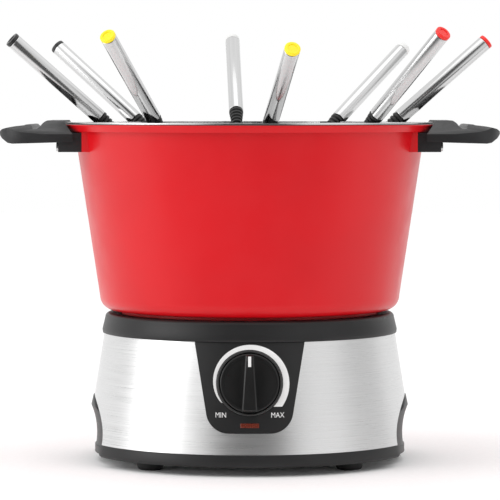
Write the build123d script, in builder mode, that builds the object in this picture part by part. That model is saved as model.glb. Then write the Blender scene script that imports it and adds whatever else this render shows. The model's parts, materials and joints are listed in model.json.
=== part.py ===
from build123d import *
import os
from math import atan, cos, radians, sin

os.makedirs("parts", exist_ok=True)

# Electric fondue pot set.  The origin is on the pot's axis at table level, +Z is up,
# and the control panel faces -Y.  All lengths are in millimetres.

# ---------------------------------------------------------------- driving sizes
FOOT_HEIGHT = 5.2
FOOT_RADIUS = 7.7
FOOT_SPACING = 114.0

SHELL_FOOT_Z = 12.4
SHELL_TOP_Z = 75.0
SHELL_FOOT_RADIUS = 95.9
SHELL_SLOPE = 0.163
SHELL_THICKNESS = 0.8

GRIP_HALF_WIDTH = 43.6
GRIP_RISE = 27.1
GRIP_GAP = 1.2

COLLAR_TOP_Z = 86.8
LEDGE_Z = 82.5
LEDGE_BOTTOM_Z = 79.5

DIAL_Z = 52.4
DIAL_POCKET_RADIUS = 18.6
DIAL_FLOOR = -4.6
BOSS_BACK = -7.5
INDICATOR_Z = 28.8
INLET_Z = 32.0

POT_UNDERSIDE_Z = 88.4
POT_CENTRE_Z = 87.0
POT_FLOOR_Z = 93.2
POT_FOOT_RADIUS = 75.4
POT_CORNER_Z = 96.6
POT_CORNER_RADIUS = 88.2
POT_SLOPE = 0.1515
POT_WALL = 3.0
FLANGE_Z = 193.2
RIM_Z = 197.7
FLANGE_RADIUS = 109.1

PAD_RADIUS = 105.4
PAD_BOTTOM_Z = 181.5
HANDLE_REACH = 145.0
HANDLE_HALF_WIDTH = 45.0
LUG_HALF_WIDTH = 42.0
HANDLE_SCREW_Y = 28.0
HANDLE_SCREW_Z = 184.3

RING_THICKNESS = 0.8
RING_Z = RIM_Z + RING_THICKNESS
RING_RADIUS = 107.8
NOTCH_HALF_WIDTH = 7.8
NOTCH_END_RADIUS = 97.6
NOTCH_ANGLE = 6.0
NOTCH_COUNT = 8

FORK_LENGTH = 235.0
CAP_LENGTH = 4.0
FORK_TUBE_LENGTH = 65.5
FERRULE_LENGTH = 12.0
FORK_TUBE_RADIUS = 4.45
ROD_RADIUS = 1.2
TINE_RADIUS = 0.8
TINE_OFFSET = 1.7
TINE_LENGTH = 26.0
TINE_TIP_Z = POT_FLOOR_Z + 0.4

ELEMENT_RADIUS = 45.0
ELEMENT_TUBE = 3.3
ELEMENT_Z = POT_CENTRE_Z - 0.1 - ELEMENT_TUBE
PAN_FLOOR_Z = 68.8
WELL_RADIUS = 10.2
WELL_FLOOR_Z = 60.0

LOW = (Align.CENTER, Align.CENTER, Align.MIN)
HIGH = (Align.CENTER, Align.CENTER, Align.MAX)


def shell_radius(z):
    """Outer radius of the base's cone at the height z."""
    return SHELL_FOOT_RADIUS - (z - SHELL_FOOT_Z) * SHELL_SLOPE


def pot_radius(z):
    """Outer radius of the pot's wall at the height z."""
    return POT_CORNER_RADIUS + (z - POT_CORNER_Z) * POT_SLOPE


def outline(*points):
    """Straight-sided closed outline in the sketch that is open."""
    Polygon(*points, align=None)


def cone_slab(inner, outer, low, high):
    """Outline of a slab between two offsets from the base's cone."""
    outline(
        (shell_radius(low) + inner, low),
        (shell_radius(low) + outer, low),
        (shell_radius(high) + outer, high),
        (shell_radius(high) + inner, high),
    )


def front_plane(z, lift=0.0):
    """Plane that touches the base's cone at the front, facing outwards."""
    tilt = atan(SHELL_SLOPE)
    outward = Vector(0, -cos(tilt), sin(tilt))
    origin = Vector(0, -shell_radius(z), z) + outward * lift
    return Plane(origin=origin, x_dir=(1, 0, 0), z_dir=outward)


def save(name, part):
    """Label the finished piece and write it."""
    part.label = name
    export_step(part, f"parts/{name}.step")


# ---------------------------------------------------------------- rubber feet
STUB_RADIUS = 2.5
STUB_TOP_Z = 9.0

with BuildPart() as rubber_feet:
    with GridLocations(FOOT_SPACING, FOOT_SPACING, 2, 2):
        Cylinder(FOOT_RADIUS, FOOT_HEIGHT, align=LOW)
    fillet(rubber_feet.faces().sort_by(Axis.Z)[:4].edges(), 2.6)
    with GridLocations(FOOT_SPACING, FOOT_SPACING, 2, 2):
        Cylinder(STUB_RADIUS, STUB_TOP_Z, align=LOW)

save("rubber_feet", rubber_feet.part)

# ---------------------------------------------------------------- bottom cover
COVER_RADIUS = 84.0
COVER_THICKNESS = 1.2
COVER_TOP_Z = FOOT_HEIGHT + COVER_THICKNESS
POST_X = 148.0
POST_Y = 60.8
SCREW_RADIUS = 1.5

with BuildPart() as bottom_cover:
    with BuildSketch(Plane.XY.offset(FOOT_HEIGHT)):
        Circle(COVER_RADIUS)
        with GridLocations(30, 9, 3, 5):
            SlotOverall(22, 3.2, mode=Mode.SUBTRACT)
        with GridLocations(FOOT_SPACING, FOOT_SPACING, 2, 2):
            Circle(STUB_RADIUS + 0.02, mode=Mode.SUBTRACT)
        with GridLocations(POST_X, POST_Y, 2, 2):
            Circle(SCREW_RADIUS + 0.2, mode=Mode.SUBTRACT)
    extrude(amount=COVER_THICKNESS)

save("bottom_cover", bottom_cover.part)

# ---------------------------------------------------------------- side carry grips
# Each grip is a concave black face that fills an arch in the steel, with a flange
# behind the steel's edge.
with BuildPart() as grip_face:
    with BuildSketch(Plane.XZ):
        with BuildLine():
            ThreePointArc((91.5, FOOT_HEIGHT), (90.3, 20.0), (93.4, 32.6))
            Polyline((93.4, 32.6), (91.9, 39.3), (88.2, 39.3), (87.2, 20.0), (88.2, FOOT_HEIGHT))
            Line((88.2, FOOT_HEIGHT), (91.5, FOOT_HEIGHT))
        make_face()
    revolve(axis=Axis.Z)
    with BuildSketch(Plane.YZ):
        with Locations((0, SHELL_FOOT_Z)):
            Ellipse(GRIP_HALF_WIDTH - GRIP_GAP, GRIP_RISE - GRIP_GAP)
        with Locations((0, FOOT_HEIGHT)):
            Rectangle(
                2 * (GRIP_HALF_WIDTH - GRIP_GAP),
                SHELL_FOOT_Z - FOOT_HEIGHT,
                align=(Align.CENTER, Align.MIN),
            )
    extrude(amount=120, both=True, mode=Mode.INTERSECT)

with BuildPart() as grip_flange:
    with BuildSketch(Plane.XZ):
        outline((86.7, 6.5), (89.3, 6.5), (89.3, 44.0), (86.7, 44.0))
    revolve(axis=Axis.Z)
    with BuildSketch(Plane.YZ):
        with Locations((0, SHELL_FOOT_Z)):
            Ellipse(GRIP_HALF_WIDTH + 4.0, GRIP_RISE + 4.0)
    extrude(amount=120, both=True, mode=Mode.INTERSECT)
    with BuildSketch(Plane.XY):
        Rectangle(260, 260)
    extrude(amount=6.5, mode=Mode.SUBTRACT)

# ---------------------------------------------------------------- lower housing
with BuildPart() as lower_housing:
    with BuildSketch(Plane.XZ):
        outline(
            (72.0, COVER_TOP_Z + 0.1),
            (84.4, COVER_TOP_Z + 0.1),
            (84.4, FOOT_HEIGHT),
            (95.7, FOOT_HEIGHT),
            (96.9, 6.6),
            (96.1, SHELL_FOOT_Z - 0.2),
            (94.7, SHELL_FOOT_Z - 0.2),
            (93.9, 17.0),
            (92.2, 17.0),
            (92.2, 9.5),
            (72.0, 9.5),
        )
    revolve(axis=Axis.Z)
    with BuildSketch(Plane.XY.offset(FOOT_HEIGHT)):
        Rectangle(260, 2 * (GRIP_HALF_WIDTH - GRIP_GAP))
        Circle(91.3, mode=Mode.SUBTRACT)
    extrude(amount=12.5, mode=Mode.SUBTRACT)
    add(grip_face.part)
    add(grip_flange.part)
    with BuildSketch(Plane.XY.offset(FOOT_HEIGHT)):
        with GridLocations(FOOT_SPACING, FOOT_SPACING, 2, 2):
            Circle(STUB_RADIUS + 0.02)
        with GridLocations(POST_X, POST_Y, 2, 2):
            Circle(SCREW_RADIUS + 0.2)
    extrude(amount=12, mode=Mode.SUBTRACT)

save("lower_housing", lower_housing.part)

# ---------------------------------------------------------------- steel shell
PANEL_TOP_Z = SHELL_TOP_Z - 0.1
PANEL_BOTTOM_Z = 24.6
PANEL_TOP_HALF = 30.8
PANEL_BOTTOM_HALF = 22.5
PANEL_CORNER = 12.3


def panel_outline(grow, top_z):
    """Front outline of the control panel, wider all round by grow."""
    slope = (PANEL_TOP_HALF - PANEL_BOTTOM_HALF) / (PANEL_TOP_Z - PANEL_BOTTOM_Z)
    low = PANEL_BOTTOM_Z - grow
    low_half = PANEL_BOTTOM_HALF + grow - slope * grow
    top_half = low_half + slope * (top_z - low)
    outline((-top_half, top_z), (-low_half, low), (low_half, low), (top_half, top_z))


INLET_WIDTH = 36.0
INLET_HEIGHT = 20.0

with BuildPart() as steel_shell:
    with BuildSketch(Plane.XZ):
        cone_slab(-SHELL_THICKNESS, 0, SHELL_FOOT_Z, SHELL_TOP_Z)
    revolve(axis=Axis.Z)
    with BuildSketch(Plane.YZ):
        with Locations((0, SHELL_FOOT_Z)):
            Ellipse(GRIP_HALF_WIDTH, GRIP_RISE)
    extrude(amount=120, both=True, mode=Mode.SUBTRACT)
    with BuildSketch(Plane.XZ) as shell_window:
        panel_outline(0.25, SHELL_TOP_Z + 1)
        fillet(shell_window.vertices().sort_by(Axis.Y)[:2], PANEL_CORNER + 0.25)
    extrude(amount=120, mode=Mode.SUBTRACT)
    with BuildSketch(Plane.XZ):
        with Locations((0, INLET_Z)):
            RectangleRounded(INLET_WIDTH + 0.5, INLET_HEIGHT + 0.5, 2.5)
    extrude(amount=-120, mode=Mode.SUBTRACT)

save("steel_shell", steel_shell.part)

# ---------------------------------------------------------------- top collar
with BuildPart() as top_collar:
    with BuildSketch(Plane.XZ):
        with BuildLine():
            Polyline(
                (82.2, COLLAR_TOP_Z),
                (77.8, COLLAR_TOP_Z),
                (76.9, 86.0),
                (76.4, LEDGE_Z),
                (66.0, LEDGE_Z),
                (66.0, LEDGE_BOTTOM_Z),
                (82.2, LEDGE_BOTTOM_Z),
                (82.8, 70.0),
                (85.1, 70.0),
                (84.5, SHELL_TOP_Z + 0.2),
                (86.6, SHELL_TOP_Z + 0.2),
                (86.8, 77.2),
                (85.1, 84.2),
            )
            ThreePointArc((85.1, 84.2), (84.3, 86.05), (82.2, COLLAR_TOP_Z))
        make_face()
    revolve(axis=Axis.Z)
    with Locations((0, -86, SHELL_TOP_Z + 0.15)):
        Box(72, 24, 6, align=HIGH, mode=Mode.SUBTRACT)
    with BuildSketch(Plane.XY.offset(9.6)):
        with GridLocations(POST_X, POST_Y, 2, 2):
            Circle(4.0)
    extrude(amount=LEDGE_BOTTOM_Z - 9.6)
    with BuildSketch(Plane.XY.offset(9.6)):
        with GridLocations(POST_X, POST_Y, 2, 2):
            Circle(SCREW_RADIUS + 0.02)
    extrude(amount=14, mode=Mode.SUBTRACT)

save("top_collar", top_collar.part)

# ---------------------------------------------------------------- cover screws
with BuildPart() as cover_screws:
    with BuildSketch(Plane.XY.offset(FOOT_HEIGHT)):
        with GridLocations(POST_X, POST_Y, 2, 2):
            Circle(3.2)
    extrude(amount=-1.6)
    fillet(cover_screws.faces().sort_by(Axis.Z)[:4].edges(), 0.8)
    with BuildSketch(Plane.XY.offset(FOOT_HEIGHT - 1.6)):
        with GridLocations(POST_X, POST_Y, 2, 2):
            Rectangle(3.6, 0.7)
            Rectangle(0.7, 3.6)
    extrude(amount=0.9, mode=Mode.SUBTRACT)
    with BuildSketch(Plane.XY.offset(FOOT_HEIGHT)):
        with GridLocations(POST_X, POST_Y, 2, 2):
            Circle(SCREW_RADIUS)
    extrude(amount=14)

save("cover_screws", cover_screws.part)

# ---------------------------------------------------------------- control panel
THERMOSTAT_SCREW_X = 9.5

with BuildPart() as panel_face:
    with BuildSketch(Plane.XZ):
        cone_slab(-3.0, 0, 20, PANEL_TOP_Z)
    revolve(axis=Axis.Z)
    with BuildSketch(Plane.XZ) as face_outline:
        panel_outline(0, PANEL_TOP_Z)
        fillet(face_outline.vertices().sort_by(Axis.Y)[:2], PANEL_CORNER)
    extrude(amount=120, mode=Mode.INTERSECT)

with BuildPart() as control_panel:
    with BuildSketch(Plane.XZ):
        cone_slab(-3.0, -1.1, 20, PANEL_TOP_Z)
    revolve(axis=Axis.Z)
    with BuildSketch(Plane.XZ) as back_outline:
        panel_outline(2.6, PANEL_TOP_Z)
        fillet(back_outline.vertices().sort_by(Axis.Y)[:2], PANEL_CORNER + 2.6)
    extrude(amount=120, mode=Mode.INTERSECT)
    add(panel_face.part)
    with BuildSketch(front_plane(DIAL_Z, BOSS_BACK)):
        Circle(21.5)
    extrude(amount=-BOSS_BACK - 2.9)
    with BuildSketch(front_plane(DIAL_Z, DIAL_FLOOR)):
        Circle(DIAL_POCKET_RADIUS)
    extrude(amount=10, mode=Mode.SUBTRACT)
    with BuildSketch(front_plane(DIAL_Z, BOSS_BACK)):
        Circle(3.6)
        with Locations((-THERMOSTAT_SCREW_X, 0), (THERMOSTAT_SCREW_X, 0)):
            Circle(SCREW_RADIUS + 0.1)
    extrude(amount=4, mode=Mode.SUBTRACT)
    with BuildSketch(front_plane(INDICATOR_Z, -6)):
        Rectangle(10.7, 2.7)
    extrude(amount=10, mode=Mode.SUBTRACT)

save("control_panel", control_panel.part)

# ---------------------------------------------------------------- dial bezel
with BuildPart() as dial_bezel:
    with BuildSketch(front_plane(DIAL_Z, DIAL_FLOOR)):
        Circle(DIAL_POCKET_RADIUS - 0.1)
        Circle(DIAL_POCKET_RADIUS - 1.3, mode=Mode.SUBTRACT)
    extrude(amount=0.5 - DIAL_FLOOR)
    fillet(dial_bezel.faces().sort_by(Axis.Y)[0].edges(), 0.4)

save("dial_bezel", dial_bezel.part)

# ---------------------------------------------------------------- indicator
with BuildPart() as indicator_lens:
    with BuildSketch(front_plane(INDICATOR_Z, -4.2)):
        Rectangle(10.6, 2.6)
    extrude(amount=4.4)
    fillet(indicator_lens.faces().sort_by(Axis.Y)[0].edges(), 0.35)

save("indicator_lens", indicator_lens.part)

LAMP_RADIUS = 2.0
LAMP_LENGTH = 10.0
lamp_plane = front_plane(INDICATOR_Z, -4.2 - LAMP_RADIUS)

with BuildPart() as indicator_lamp:
    with BuildSketch(Plane(origin=lamp_plane.origin - Vector(LAMP_LENGTH / 2, 0, 0), z_dir=(1, 0, 0))):
        Circle(LAMP_RADIUS)
    extrude(amount=LAMP_LENGTH)
    fillet(indicator_lamp.edges().filter_by(GeomType.CIRCLE), 1.9)

save("indicator_lamp", indicator_lamp.part)

# ---------------------------------------------------------------- thermostat
THERMOSTAT_DEPTH = 16.0
SHAFT_RADIUS = 3.0

with BuildPart() as thermostat_body:
    with BuildSketch(front_plane(DIAL_Z, BOSS_BACK)):
        RectangleRounded(28, 22, 2)
    extrude(amount=-THERMOSTAT_DEPTH)
    with BuildSketch(front_plane(DIAL_Z, BOSS_BACK)):
        with Locations((-THERMOSTAT_SCREW_X, 0), (THERMOSTAT_SCREW_X, 0)):
            Circle(SCREW_RADIUS + 0.02)
        Circle(SHAFT_RADIUS + 0.05)
    extrude(amount=-8, mode=Mode.SUBTRACT)
    with BuildSketch(front_plane(DIAL_Z, BOSS_BACK - THERMOSTAT_DEPTH)):
        with GridLocations(9, 12, 3, 2):
            Rectangle(0.8, 6.3)
    extrude(amount=-7)

save("thermostat_body", thermostat_body.part)

with BuildPart() as thermostat_screws:
    with BuildSketch(front_plane(DIAL_Z, BOSS_BACK)):
        with Locations((-THERMOSTAT_SCREW_X, 0), (THERMOSTAT_SCREW_X, 0)):
            Circle(SCREW_RADIUS)
    extrude(amount=-6)
    with BuildSketch(front_plane(DIAL_Z, BOSS_BACK)):
        with Locations((-THERMOSTAT_SCREW_X, 0), (THERMOSTAT_SCREW_X, 0)):
            Circle(SCREW_RADIUS)
    extrude(amount=2.9)
    with BuildSketch(front_plane(DIAL_Z, DIAL_FLOOR)):
        with Locations((-THERMOSTAT_SCREW_X, 0), (THERMOSTAT_SCREW_X, 0)):
            Circle(2.8)
            Rectangle(3.4, 0.6, mode=Mode.SUBTRACT)
    extrude(amount=0.9)

save("thermostat_screws", thermostat_screws.part)

# ---------------------------------------------------------------- knob and its shaft
KNOB_RADIUS = 16.9
KNOB_BACK = -3.2
KNOB_FACE = 0.8
POINTER_TOP = 9.0
POINTER_HIGH_Y = 15.1
POINTER_LOW_Y = -16.4
POINTER_HIGH_HALF = 2.25
POINTER_LOW_HALF = 4.25

with BuildPart() as thermostat_shaft:
    with BuildSketch(front_plane(DIAL_Z, BOSS_BACK - 7.5)):
        Circle(SHAFT_RADIUS)
    extrude(amount=7.5 + 3.0 - BOSS_BACK)
    with BuildSketch(front_plane(DIAL_Z, KNOB_BACK)):
        with Locations((0, SHAFT_RADIUS)):
            Rectangle(8, 2.4)
    extrude(amount=8, mode=Mode.SUBTRACT)

save("thermostat_shaft", thermostat_shaft.part)

with BuildPart() as knob:
    with BuildSketch(front_plane(DIAL_Z, KNOB_BACK)):
        Circle(KNOB_RADIUS)
    extrude(amount=KNOB_FACE - KNOB_BACK)
    fillet(knob.faces().sort_by(Axis.Y)[0].edges(), 1.2)
    with BuildSketch(front_plane(DIAL_Z, KNOB_FACE)):
        Circle(14.6)
    extrude(amount=-0.8, mode=Mode.SUBTRACT)
    with BuildSketch(front_plane(DIAL_Z, -1.0)):
        outline(
            (-POINTER_HIGH_HALF, POINTER_HIGH_Y),
            (-POINTER_LOW_HALF, POINTER_LOW_Y),
            (POINTER_LOW_HALF, POINTER_LOW_Y),
            (POINTER_HIGH_HALF, POINTER_HIGH_Y),
        )
    extrude(amount=POINTER_TOP + 1.0)
    chamfer(knob.faces().sort_by(Axis.Y)[0].edges(), 0.7)
    with BuildSketch(front_plane(DIAL_Z, KNOB_BACK)):
        Circle(SHAFT_RADIUS + 0.02)
    extrude(amount=6.4, mode=Mode.SUBTRACT)
    with BuildSketch(front_plane(DIAL_Z, POINTER_TOP)):
        with Locations((0, 11.4)):
            Rectangle(1.7, 5.8)
    extrude(amount=-0.5, mode=Mode.SUBTRACT)

save("knob", knob.part)

with BuildPart() as knob_index:
    with BuildSketch(front_plane(DIAL_Z, POINTER_TOP - 0.5)):
        with Locations((0, 11.4)):
            Rectangle(1.7, 5.8)
    extrude(amount=0.6)

save("knob_index", knob_index.part)

# ---------------------------------------------------------------- reflector pan
ELEMENT_END_ANGLE = 110.0
LEG_BEND = 9.0
end_radial = Vector(cos(radians(ELEMENT_END_ANGLE)), sin(radians(ELEMENT_END_ANGLE)), 0)
end_forward = Vector(sin(radians(ELEMENT_END_ANGLE)), -cos(radians(ELEMENT_END_ANGLE)), 0)
leg_point = end_radial * ELEMENT_RADIUS + end_forward * LEG_BEND

with BuildPart() as reflector_pan:
    with BuildSketch(Plane.XZ):
        outline(
            (74.5, LEDGE_BOTTOM_Z),
            (65.8, LEDGE_BOTTOM_Z),
            (60.0, PAN_FLOOR_Z),
            (WELL_RADIUS, PAN_FLOOR_Z),
            (WELL_RADIUS, WELL_FLOOR_Z),
            (2.0, WELL_FLOOR_Z),
            (2.0, WELL_FLOOR_Z - 0.8),
            (WELL_RADIUS + 0.8, WELL_FLOOR_Z - 0.8),
            (WELL_RADIUS + 0.8, PAN_FLOOR_Z - 0.8),
            (60.5, PAN_FLOOR_Z - 0.8),
            (66.3, LEDGE_BOTTOM_Z - 0.8),
            (74.5, LEDGE_BOTTOM_Z - 0.8),
        )
    revolve(axis=Axis.Z)
    with BuildSketch(Plane.XY.offset(PAN_FLOOR_Z - 4)):
        with Locations((leg_point.X, leg_point.Y), (-leg_point.X, leg_point.Y)):
            Circle(ELEMENT_TUBE + 0.8)
    extrude(amount=8, mode=Mode.SUBTRACT)

save("reflector_pan", reflector_pan.part)

# ---------------------------------------------------------------- heating element
with BuildPart() as heating_element:
    with BuildSketch(Plane(origin=(0, 0, 0), x_dir=end_radial, z_dir=end_forward)):
        with Locations((ELEMENT_RADIUS, ELEMENT_Z)):
            Circle(ELEMENT_TUBE)
    revolve(axis=Axis.Z, revolution_arc=360 - 2 * (ELEMENT_END_ANGLE - 90))


for side in (1, -1):
    radial = Vector(side * end_radial.X, end_radial.Y, 0)
    forward = Vector(side * end_forward.X, end_forward.Y, 0)
    bend_start = radial * ELEMENT_RADIUS + Vector(0, 0, ELEMENT_Z)
    bend_end = bend_start + forward * LEG_BEND - Vector(0, 0, LEG_BEND)
    with BuildPart() as leg:
        with BuildLine():
            bend = TangentArc(bend_start, bend_end, tangent=forward)
            Line(bend_end, bend_end - Vector(0, 0, 18))
        with BuildSketch(Plane(origin=bend_start, z_dir=forward)):
            Circle(ELEMENT_TUBE)
        sweep()
    with heating_element:
        add(leg.part)

save("heating_element", heating_element.part)

CLIP_WIDTH = 13.0

with BuildPart() as element_clips:
    for angle in (210, 330, 60):
        with BuildSketch(Plane.XZ.rotated((0, 0, angle)).offset(-1)):
            with Locations((ELEMENT_RADIUS, PAN_FLOOR_Z)):
                clip_height = ELEMENT_Z + 4.0 - PAN_FLOOR_Z - 1.0
                Rectangle(CLIP_WIDTH, clip_height, align=(Align.CENTER, Align.MIN))
            with Locations((ELEMENT_RADIUS, ELEMENT_Z)):
                Circle(ELEMENT_TUBE + 0.02, mode=Mode.SUBTRACT)
        extrude(amount=2)

save("element_clips", element_clips.part)

# ---------------------------------------------------------------- thermostat sensor
SENSOR_RADIUS = 8.0
SENSOR_TOP_Z = POT_CENTRE_Z - 0.1

with BuildPart() as sensor_cup:
    with BuildSketch(Plane.XZ):
        outline(
            (0, SENSOR_TOP_Z),
            (SENSOR_RADIUS, SENSOR_TOP_Z),
            (SENSOR_RADIUS, 66.5),
            (WELL_RADIUS - 0.35, 66.5),
            (WELL_RADIUS - 0.35, 65.5),
            (SENSOR_RADIUS - 1.0, 65.5),
            (SENSOR_RADIUS - 1.0, SENSOR_TOP_Z - 1.2),
            (0, SENSOR_TOP_Z - 1.2),
        )
    revolve(axis=Axis.Z)
    fillet(sensor_cup.edges().filter_by(GeomType.CIRCLE).sort_by(Axis.Z)[-1], 0.9)

save("sensor_cup", sensor_cup.part)

SPRING_RADIUS = 5.2
SPRING_WIRE = 0.5
SPRING_LOW_Z = WELL_FLOOR_Z + SPRING_WIRE + 0.05
SPRING_HIGH_Z = SENSOR_TOP_Z - 1.2 - SPRING_WIRE - 0.05

with BuildPart() as sensor_spring:
    with BuildLine():
        Helix(
            pitch=(SPRING_HIGH_Z - SPRING_LOW_Z) / 6,
            height=SPRING_HIGH_Z - SPRING_LOW_Z,
            radius=SPRING_RADIUS,
            center=(0, 0, SPRING_LOW_Z),
        )
    with BuildSketch(Plane(origin=(SPRING_RADIUS, 0, SPRING_LOW_Z), z_dir=(0, 1, 0))):
        Circle(SPRING_WIRE)
    sweep(is_frenet=True)

save("sensor_spring", sensor_spring.part)

# ---------------------------------------------------------------- power inlet
INLET_FRONT_Y = 94.2
INLET_FLOOR_Y = 85.0
PIN_SPACING = 14.0

with BuildPart() as power_inlet:
    with BuildSketch(Plane.XZ.offset(-72.0)):
        with Locations((0, INLET_Z)):
            RectangleRounded(INLET_WIDTH, INLET_HEIGHT, 2.2)
    extrude(amount=72.0 - INLET_FRONT_Y)
    with BuildSketch(Plane.XZ.offset(-84.0)):
        with Locations((0, INLET_Z)):
            RectangleRounded(INLET_WIDTH + 6, INLET_HEIGHT + 6, 3.2)
    extrude(amount=-2.2)
    with BuildSketch(Plane.XZ.offset(-INLET_FLOOR_Y)):
        with Locations((0, INLET_Z)):
            RectangleRounded(INLET_WIDTH - 6, INLET_HEIGHT - 6, 1.5)
    extrude(amount=INLET_FLOOR_Y - INLET_FRONT_Y - 1, mode=Mode.SUBTRACT)
    with BuildSketch(Plane.XZ.offset(-72.0)):
        with Locations((-PIN_SPACING / 2, INLET_Z), (PIN_SPACING / 2, INLET_Z)):
            Circle(2.52)
    extrude(amount=-20, mode=Mode.SUBTRACT)

save("power_inlet", power_inlet.part)

with BuildPart() as inlet_pins:
    with BuildSketch(Plane.XZ.offset(-64.0)):
        with Locations((-PIN_SPACING / 2, INLET_Z), (PIN_SPACING / 2, INLET_Z)):
            Circle(2.5)
    extrude(amount=64.0 - INLET_FLOOR_Y - 1.5)

save("inlet_pins", inlet_pins.part)

# ---------------------------------------------------------------- pot
FLANGE_FOOT_RADIUS = FLANGE_RADIUS - 2.2
WALL_TOP_RADIUS = pot_radius(FLANGE_Z)

with BuildPart() as pot:
    with BuildSketch(Plane.XZ) as pot_section:
        with BuildLine():
            Polyline(
                (0, POT_CENTRE_Z),
                (70.0, POT_CENTRE_Z),
                (70.6, LEDGE_Z),
                (POT_FOOT_RADIUS, LEDGE_Z),
                (POT_FOOT_RADIUS, POT_UNDERSIDE_Z),
                (80.0, POT_UNDERSIDE_Z),
            )
            Line((POT_CORNER_RADIUS, POT_CORNER_Z), (WALL_TOP_RADIUS, FLANGE_Z))
            ThreePointArc((80.0, POT_UNDERSIDE_Z), (85.8, 90.9), (POT_CORNER_RADIUS, POT_CORNER_Z))
            Polyline(
                (WALL_TOP_RADIUS, FLANGE_Z),
                (FLANGE_FOOT_RADIUS, FLANGE_Z),
                (FLANGE_RADIUS, RIM_Z),
                (pot_radius(RIM_Z) - POT_WALL, RIM_Z),
                (pot_radius(POT_FLOOR_Z + 9) - POT_WALL, POT_FLOOR_Z + 9),
            )
            ThreePointArc(
                (pot_radius(POT_FLOOR_Z + 9) - POT_WALL, POT_FLOOR_Z + 9),
                (83.2, POT_FLOOR_Z + 2.8),
                (77.0, POT_FLOOR_Z),
            )
            Polyline((77.0, POT_FLOOR_Z), (0, POT_FLOOR_Z), (0, POT_CENTRE_Z))
        make_face()
        fillet(pot_section.vertices().group_by(Axis.Y)[-1].sort_by(Axis.X)[-1], 0.9)
    revolve(axis=Axis.Z)
    with BuildSketch(Plane.XY.offset(PAD_BOTTOM_Z)):
        Circle(PAD_RADIUS)
        Circle(pot_radius(PAD_BOTTOM_Z) - 1.5, mode=Mode.SUBTRACT)
        Rectangle(260, 2 * LUG_HALF_WIDTH, mode=Mode.INTERSECT)
    extrude(amount=FLANGE_Z - PAD_BOTTOM_Z)
    for side in (1, -1):
        with BuildSketch(Plane(origin=(side * 96.5, 0, 0), x_dir=(0, side, 0), z_dir=(side, 0, 0))):
            with Locations((-HANDLE_SCREW_Y, HANDLE_SCREW_Z), (HANDLE_SCREW_Y, HANDLE_SCREW_Z)):
                Circle(SCREW_RADIUS + 0.02)
        extrude(amount=12, mode=Mode.SUBTRACT)

save("pot", pot.part)

# ---------------------------------------------------------------- pot handles
HANDLE_GAP_RADIUS = 111.2
LUG_OUTER_X = 110.2
SHOULDER_Z = 191.4
SHOULDER_CREST_HALF = 27.0

for side, handle_name in ((-1, "handle_left"), (1, "handle_right")):
    with BuildPart() as handle:
        with BuildSketch(Plane.XZ):
            with BuildLine():
                Polyline((100.0, 187.4), (100.0, 199.6), (117.4, 199.6))
                ThreePointArc((117.4, 199.6), (119.2, 198.5), (120.9, 196.3))
                Line((120.9, 196.3), (122.6, 194.9))
                ThreePointArc((122.6, 194.9), (124.3, 194.6), (125.5, 195.4))
                Polyline((125.5, 195.4), (125.7, 196.3), (126.6, 197.2))
                ThreePointArc((126.6, 197.2), (128.6, 197.4), (130.6, 196.8))
                ThreePointArc((130.6, 196.8), (137.6, 196.0), (143.1, 194.7))
                Polyline((143.1, 194.7), (HANDLE_REACH, 193.2), (HANDLE_REACH, 191.8), (143.2, 189.4))
                Polyline((143.2, 189.4), (139.6, 186.8), (136.8, 186.3), (100.0, 187.4))
            make_face()
        extrude(amount=HANDLE_HALF_WIDTH, both=True)
        with BuildSketch(Plane.XY) as plan:
            outline(
                (98, -45),
                (98, 45),
                (118, 45),
                (HANDLE_REACH + 1, 40),
                (HANDLE_REACH + 1, -40),
                (118, -45),
            )
            fillet(plan.vertices().group_by(Axis.X)[-1], 20)
        extrude(amount=220, mode=Mode.INTERSECT)
        for bank in (1, -1):
            with BuildSketch(Plane.YZ.offset(90)):
                outline(
                    (bank * SHOULDER_CREST_HALF, 200.2),
                    (bank * (HANDLE_HALF_WIDTH + 1), SHOULDER_Z),
                    (bank * (HANDLE_HALF_WIDTH + 1), 202),
                    (bank * SHOULDER_CREST_HALF, 202),
                )
            extrude(amount=70, mode=Mode.SUBTRACT)
        Cylinder(HANDLE_GAP_RADIUS, 260, align=LOW, mode=Mode.SUBTRACT)
        with BuildSketch(Plane.XY.offset(PAD_BOTTOM_Z)):
            outline(
                (95, -LUG_HALF_WIDTH),
                (95, LUG_HALF_WIDTH),
                (LUG_OUTER_X, LUG_HALF_WIDTH),
                (LUG_OUTER_X, -LUG_HALF_WIDTH),
            )
            Circle(PAD_RADIUS, mode=Mode.SUBTRACT)
        extrude(amount=FLANGE_Z - 0.6 - PAD_BOTTOM_Z)
        with BuildSketch(Plane.YZ.offset(LUG_OUTER_X)):
            with Locations((-HANDLE_SCREW_Y, HANDLE_SCREW_Z), (HANDLE_SCREW_Y, HANDLE_SCREW_Z)):
                Circle(SCREW_RADIUS + 0.2)
        extrude(amount=-20, mode=Mode.SUBTRACT)
        if side < 0:
            mirror(about=Plane.YZ, mode=Mode.REPLACE)
    save(handle_name, handle.part)

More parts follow.
